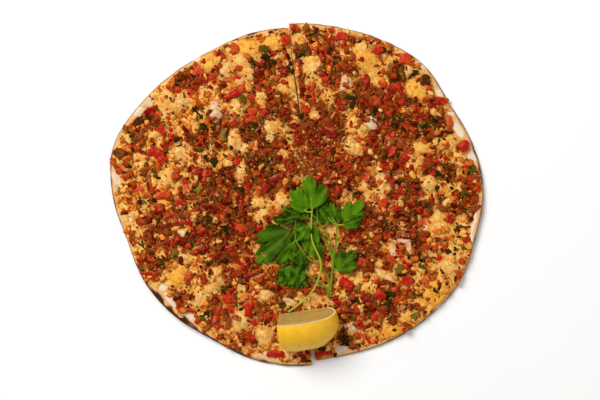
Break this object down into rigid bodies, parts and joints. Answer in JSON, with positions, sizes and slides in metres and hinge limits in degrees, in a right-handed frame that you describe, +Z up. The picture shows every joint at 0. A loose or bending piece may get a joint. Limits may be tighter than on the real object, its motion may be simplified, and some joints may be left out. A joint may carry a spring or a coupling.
{
  "type": "lahmacun",
  "caption": "Thin round of baked dough under a minced meat and vegetable topping, cut in two across the middle, garnished with parsley sprigs and a lemon wedge",
  "frame": {"origin": "centre of the bottom of the bounding box, on the surface that the bread lies on", "axes": "+Z up, out of the topping; +X along the longest side, to the right of a person who has the lemon wedge nearest; +Y away from that person, along the cut"},
  "size_m": [0.2987, 0.2747, 0.036],
  "materials": {
    "dough": "baked, matt",
    "topping": "crumbly, slightly oily",
    "tomato": "moist",
    "red_pepper": "moist",
    "green_pepper": "moist",
    "burnt_mince": "charred",
    "lemon": "waxy rind, moist flesh",
    "parsley": "fresh leaf"
  },
  "bodies": {
    "root": {"dough_left": "dough", "dough_right": "dough", "topping_left": "topping", "topping_right": "topping", "tomato_01": "tomato", "tomato_02": "tomato", "tomato_03": "tomato", "tomato_04": "tomato", "tomato_05": "tomato", "tomato_06": "tomato", "tomato_07": "tomato", "tomato_08": "tomato", "tomato_09": "tomato", "tomato_10": "tomato", "tomato_11": "tomato", "tomato_12": "tomato", "tomato_13": "tomato", "tomato_14": "tomato", "tomato_15": "tomato", "tomato_16": "tomato", "tomato_17": "tomato", "tomato_18": "tomato", "tomato_19": "tomato", "tomato_20": "tomato", "tomato_21": "tomato", "tomato_22": "tomato", "tomato_23": "tomato", "tomato_24": "tomato", "tomato_25": "tomato", "tomato_26": "tomato", "tomato_27": "tomato", "tomato_28": "tomato", "tomato_29": "tomato", "tomato_30": "tomato", "red_pepper_01": "red_pepper", "red_pepper_02": "red_pepper", "red_pepper_03": "red_pepper", "red_pepper_04": "red_pepper", "red_pepper_05": "red_pepper", "red_pepper_06": "red_pepper", "red_pepper_07": "red_pepper", "red_pepper_08": "red_pepper", "red_pepper_09": "red_pepper", "green_pepper_01": "green_pepper", "green_pepper_02": "green_pepper", "green_pepper_03": "green_pepper", "green_pepper_04": "green_pepper", "green_pepper_05": "green_pepper", "green_pepper_06": "green_pepper", "burnt_lump_01": "burnt_mince", "burnt_lump_02": "burnt_mince", "burnt_lump_03": "burnt_mince", "lemon_wedge": "lemon", "parsley_long": "parsley", "parsley_branched": "parsley"}
  },
  "joints": []
}
